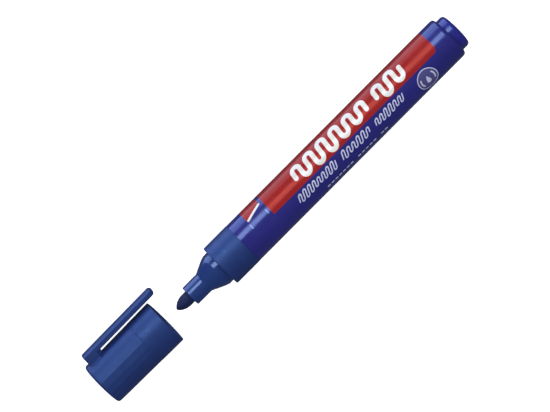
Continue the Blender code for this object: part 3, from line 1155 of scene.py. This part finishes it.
def loft(bm, loops, closed=False):
    """Skins a row of loops. It caps its two ends, unless the row is closed on itself."""
    count = len(loops[0])
    pairs = list(zip(loops, loops[1:]))
    if closed:
        pairs.append((loops[-1], loops[0]))
    for first, second in pairs:
        for i in range(count):
            j = (i + 1) % count
            bm.faces.new((first[i], first[j], second[j], second[i]))
    if not closed:
        bm.faces.new(loops[0])
        bm.faces.new(loops[-1])


def turn_to_clip(bm):
    """Turns a shape that stands straight up from the cap to where the clip is."""
    turn = Matrix.Rotation(-math.radians(CLIP_ANGLE), 4, "X")
    bmesh.ops.transform(bm, matrix=turn, verts=bm.verts)


def make_clip(material):
    """The clip with its root, as one moulding, turned to the side where the CAD clip stands."""
    bm = bmesh.new()
    loft(bm, [clip_section(bm, *station) for station in clip_stations()])
    turn_to_clip(bm)
    clip = make_piece("clip", bm, MOUTH, material)
    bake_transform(clip)
    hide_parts("pocket_clip")


def make_clip_web(material):
    """A narrower web between the clip's root and its slit."""
    rear = CLIP_REAR + POST_LENGTH - WEB_OVERLAP
    front = CLIP_REAR + WEB_END
    high = clip_under(front) + WEB_SINK
    half = WEB_WIDTH / 2
    stations = [(rear, POST_FOOT, high, half), (front, POST_FOOT, high, half)]
    stations += slit_end(front, SLIT_ROUND, high, half)
    bm = bmesh.new()
    loft(bm, [web_section(bm, *station) for station in stations])
    turn_to_clip(bm)
    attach(make_piece("clip_web", bm, MOUTH, material), "cap")


def fillet_loop(bm, x, side, outward):
    """A loop through the fillet where it leaves the post at (x, side), with its hollow side outward."""
    steps = 6

    def vert(distance, out):
        foot = Vector((x, side)) + outward * distance
        return bm.verts.new((foot.x, foot.y, out))

    def on_cap(distance):
        across = side + outward.y * distance
        return math.sqrt((cap_radius(x) - FILLET_SINK) ** 2 - across**2)

    loop = [vert(-FILLET_INSET, POST_FOOT), vert(-FILLET_INSET, on_cap(0) + FILLET)]
    for k in range(steps + 1):
        turn = math.radians(90 * k / steps)
        distance = FILLET * (1 - math.cos(turn))
        loop.append(vert(distance, on_cap(distance) + FILLET * (1 - math.sin(turn))))
    loop.append(vert(FILLET, POST_FOOT))
    return loop


def make_clip_fillet(material):
    """A hollow fillet round the clip's root, which follows the cap's round side."""
    half = CLIP_WIDTH / 2
    rounds = (FILLET_CORNER,) * 4
    outline = box_points(CLIP_REAR, CLIP_REAR + POST_LENGTH, -half, half, rounds, steps=5)
    bm = bmesh.new()
    loops = []
    for i, (x, side) in enumerate(outline):
        before = Vector(outline[i - 1])
        after = Vector(outline[(i + 1) % len(outline)])
        along = (after - before).normalized()
        loops.append(fillet_loop(bm, x, side, Vector((along.y, -along.x))))
    loft(bm, loops, closed=True)
    turn_to_clip(bm)
    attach(make_piece("clip_fillet", bm, MOUTH, material), "cap")


def make_mould_dots(material):
    """A small raised dot on the cap and on the collar, where the original has moulded marks."""
    places = (
        ("cap_dot", CAP_DOT, cap_radius(CAP_DOT[0]), MOUTH, "cap", "cap_matte"),
        ("collar_dot", COLLAR_DOT, COLLAR_RADIUS, STOP, "marker", "collar_matte"),
    )
    for name, (x, angle), radius, origin, body, slot in places:
        bm = bmesh.new()
        disc(bm, (x, arc_length(angle, radius)), DOT_RADIUS, DOT_STEPS)
        wrap(name, bm, material, DOT_HEIGHT, radius, origin, body)


# ---------------------------------------------------------------- the studio


def make_floor():
    """A pale light table, which the marker's gloss and undersides don't pick up."""
    bm = bmesh.new()
    bmesh.ops.create_grid(bm, x_segments=1, y_segments=1, size=FLOOR_HALF_WIDTH)
    mesh = bpy.data.meshes.new("floor")
    bm.to_mesh(mesh)
    bm.free()
    mesh.materials.append(floor_paper())
    floor = bpy.data.objects.new("floor", mesh)
    floor.location.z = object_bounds()[0][2] - FLOOR_GAP
    floor.visible_glossy = False
    floor.visible_diffuse = False
    bpy.context.scene.collection.objects.link(floor)


def area_light(name, from_up, distance, width, length, radiance):
    """A soft box along the marker, in metres. from_up is its angle round the marker."""
    data = bpy.data.lights.new(name, "AREA")
    data.shape = "RECTANGLE"
    data.size = length
    data.size_y = width
    data.energy = radiance * math.pi * width * length
    light = bpy.data.objects.new(name, data)
    angle = math.radians(from_up)
    middle = Vector((0.0, AXIS_Y, AXIS_Z))
    light.location = middle + Vector((0.0, math.sin(angle), math.cos(angle))) * distance
    light.rotation_euler.x = -angle
    bpy.context.scene.collection.objects.link(light)
    return light


def make_lights():
    """An overhead box for the colours, two strips for the gloss, and a bluish strip for both."""
    overhead = area_light("overhead_box", from_up=8.0, distance=0.8, width=2.0, length=2.4, radiance=1.30)
    overhead.visible_glossy = False
    upper = area_light("upper_strip", from_up=30.7, distance=0.6, width=0.25, length=0.42, radiance=6.1)
    upper.visible_diffuse = False
    between = area_light("between_fill", from_up=57.0, distance=0.6, width=0.29, length=0.6, radiance=0.28)
    between.visible_diffuse = False
    side = area_light("side_strip", from_up=93.0, distance=0.6, width=0.53, length=0.70, radiance=3.0)
    side.data.color = SIDE_LIGHT


def make_surround():
    """A dim bluish light from all round."""
    world = bpy.data.worlds.new("studio")
    world.use_nodes = True
    background = world.node_tree.nodes["Background"]
    background.inputs["Color"].default_value = (*SURROUND, 1.0)
    background.inputs["Strength"].default_value = SURROUND_STRENGTH
    bpy.context.scene.world = world


def make_camera():
    """Looks straight down, turned so that the marker climbs to the right."""
    lens, sensor = 200.0, 36.0
    view_width = 176.8
    centre_x, centre_from_axis = -0.66, 1.16
    roll = 45.12
    data = bpy.data.cameras.new("camera")
    data.lens = lens
    data.sensor_width = sensor
    data.clip_end = 10.0
    camera = bpy.data.objects.new("camera", data)
    distance = view_width * lens / sensor
    camera.location = Vector((0, AXIS_Y, AXIS_Z)) + Vector((centre_x, centre_from_axis, distance)) * MM
    camera.rotation_euler.z = -math.radians(roll)
    bpy.context.scene.collection.objects.link(camera)
    bpy.context.scene.camera = camera


make_camera()
make_nib()
make_nose()
make_collar()
make_barrel()
make_plug()
make_reservoir()
make_print()
CAP_MATERIAL = matte_plastic("cap_matte", MATTE_BLUE)
make_cap_shell(CAP_MATERIAL)
make_liner()
make_clip(CAP_MATERIAL)
make_clip_web(CAP_MATERIAL)
make_clip_fillet(CAP_MATERIAL)
make_mould_dots(CAP_MATERIAL)
make_floor()
make_lights()
make_surround()
bpy.context.scene.view_settings.view_transform = "Standard"
